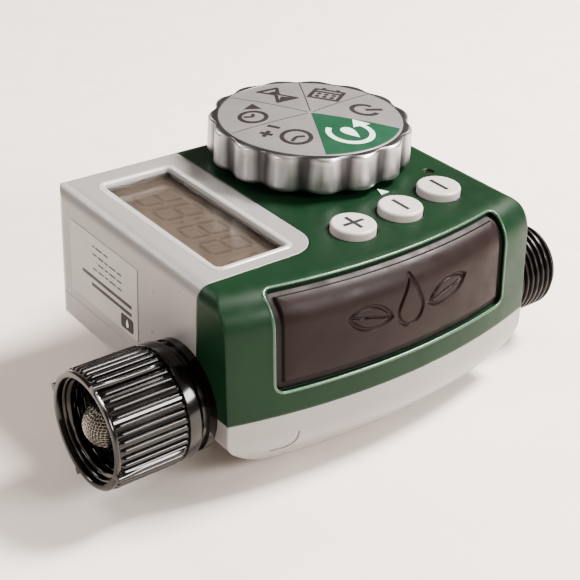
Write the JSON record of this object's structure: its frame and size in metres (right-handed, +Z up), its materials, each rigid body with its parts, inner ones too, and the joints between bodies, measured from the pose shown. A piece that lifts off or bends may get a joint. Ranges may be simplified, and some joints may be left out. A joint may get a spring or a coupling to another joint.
{
  "type": "drip irrigation timer",
  "caption": "Battery hose-end watering timer: swivel hose inlet, threaded outlet, programme dial, display and push buttons in a bow-fronted two-tone housing.",
  "frame": {"origin": "middle of the housing's plan box on the flat face it rests on", "axes": "+X along the water line from the swivel inlet to the threaded outlet, -Y towards the bowed front with its emblem plate, +Z up through the dial's axis"},
  "size_m": [0.1597, 0.0978, 0.0702],
  "materials": {
    "gray_shell": "satin moulded ABS",
    "green_cover": "semi-gloss moulded ABS",
    "plate_brown": "satin moulded ABS",
    "clear_window": "clear polycarbonate",
    "dial_silver": "silver painted ABS",
    "dial_print": "printed film",
    "button_gray": "satin moulded",
    "pale_mark": "printed",
    "lens_red": "tinted lens",
    "label_film": "printed film",
    "gray_nylon": "moulded nylon",
    "seal_rubber": "moulded",
    "oring_rubber": "moulded",
    "spring_steel": "bright",
    "zinc_screw": "zinc plated",
    "black_nylon": "glass-filled nylon, glossy",
    "valve_nylon": "glass-filled nylon",
    "black_abs": "moulded",
    "contact_brass": "bright",
    "solenoid_brass": "drawn tube",
    "board_green": "solder mask over glass laminate",
    "cap_sleeve": "shrink sleeve",
    "lcd_glass": "polarised display glass",
    "zebra_rubber": "silicone strip",
    "filter_mesh": "woven stainless screen",
    "disc_acetal": "acetal",
    "coil_wire": "enamelled copper winding",
    "yoke_steel": "zinc plated",
    "lead_red": "PVC lead",
    "lead_black": "PVC lead",
    "cell_jacket": "printed jacket"
  },
  "bodies": {
    "housing": {"rear_shell": "gray_shell", "front_cover": "green_cover", "display_housing": "gray_shell", "name_plate": "plate_brown", "display_window": "clear_window", "contact_pads": "contact_brass", "detent_spring": "spring_steel", "tact_switches": "black_abs", "pointer_mark": "pale_mark", "status_lens": "lens_red", "side_label": "label_film", "housing_seal": "seal_rubber", "housing_screws": "zinc_screw", "circuit_board": "board_green", "board_screws": "zinc_screw", "controller_chip": "black_abs", "storage_capacitor": "cap_sleeve", "lcd_glass": "lcd_glass", "lcd_holder": "black_abs", "lcd_connectors": "zebra_rubber", "inlet_tailpiece": "black_nylon", "inlet_seal": "oring_rubber", "hose_washer": "seal_rubber", "filter_screen": "filter_mesh", "valve_body": "valve_nylon", "outlet_spigot": "black_nylon", "outlet_seal": "oring_rubber", "diaphragm": "seal_rubber", "diaphragm_spring": "spring_steel", "valve_bonnet": "valve_nylon", "bonnet_screws": "zinc_screw", "solenoid_coil": "coil_wire", "solenoid_yoke": "yoke_steel", "solenoid_tube": "solenoid_brass", "plunger_spring": "spring_steel", "solenoid_wires": "lead_red", "terminal_blades": "contact_brass", "battery_wires": "lead_black"},
    "dial": {"dial_knob": "dial_silver", "dial_face": "dial_print", "dial_shaft": "gray_nylon", "dial_seal": "seal_rubber", "dial_clip": "spring_steel", "switch_rotor": "black_abs", "wiper_contacts": "contact_brass"},
    "plus_key": {"plus_button": "button_gray"},
    "minus_key": {"minus_button": "button_gray"},
    "manual_key": {"manual_button": "button_gray"},
    "swivel_nut": {"inlet_nut": "black_nylon"},
    "drawer": {"battery_drawer": "gray_shell", "battery_seal": "seal_rubber", "battery_cells": "cell_jacket", "cell_springs": "spring_steel", "cell_plates": "spring_steel"},
    "valve_plunger": {"plunger": "yoke_steel", "plunger_tip": "seal_rubber"},
    "valve_disc": {"diaphragm_disc": "disc_acetal"}
  },
  "joints": [
    {"name": "dial_turn", "type": "hinge", "parent": "housing", "child": "dial", "pos_m": [0.0183, 0.02065, 0.058], "axis": [0, 0, 1], "continuous": true},
    {"name": "plus_press", "type": "slide", "parent": "housing", "child": "plus_key", "axis": [0, 0, -1], "range_m": [0, 0.0008], "stiffness_N_per_m": 900, "springref_m": -0.0004},
    {"name": "minus_press", "type": "slide", "parent": "housing", "child": "minus_key", "axis": [0, 0, -1], "range_m": [0, 0.0008], "stiffness_N_per_m": 900, "springref_m": -0.0004},
    {"name": "manual_press", "type": "slide", "parent": "housing", "child": "manual_key", "axis": [0, 0, -1], "range_m": [0, 0.0008], "stiffness_N_per_m": 900, "springref_m": -0.0004},
    {"name": "nut_swivel", "type": "hinge", "parent": "housing", "child": "swivel_nut", "pos_m": [-0.0628, -0.0196, 0.0214], "axis": [1, 0, 0], "continuous": true},
    {"name": "drawer_slide", "type": "slide", "parent": "housing", "child": "drawer", "axis": [0, 1, 0], "range_m": [0, 0.034]},
    {"name": "plunger_slide", "type": "slide", "parent": "housing", "child": "valve_plunger", "axis": [0, 1, 0], "range_m": [0, 0.0015], "stiffness_N_per_m": 150, "springref_m": -0.001, "deforming": ["plunger_spring"]},
    {"name": "disc_lift", "type": "slide", "parent": "housing", "child": "valve_disc", "axis": [0, 0, 1], "range_m": [0, 0.0025], "stiffness_N_per_m": 200, "springref_m": -0.003, "deforming": ["diaphragm_spring", "diaphragm"]}
  ]
}
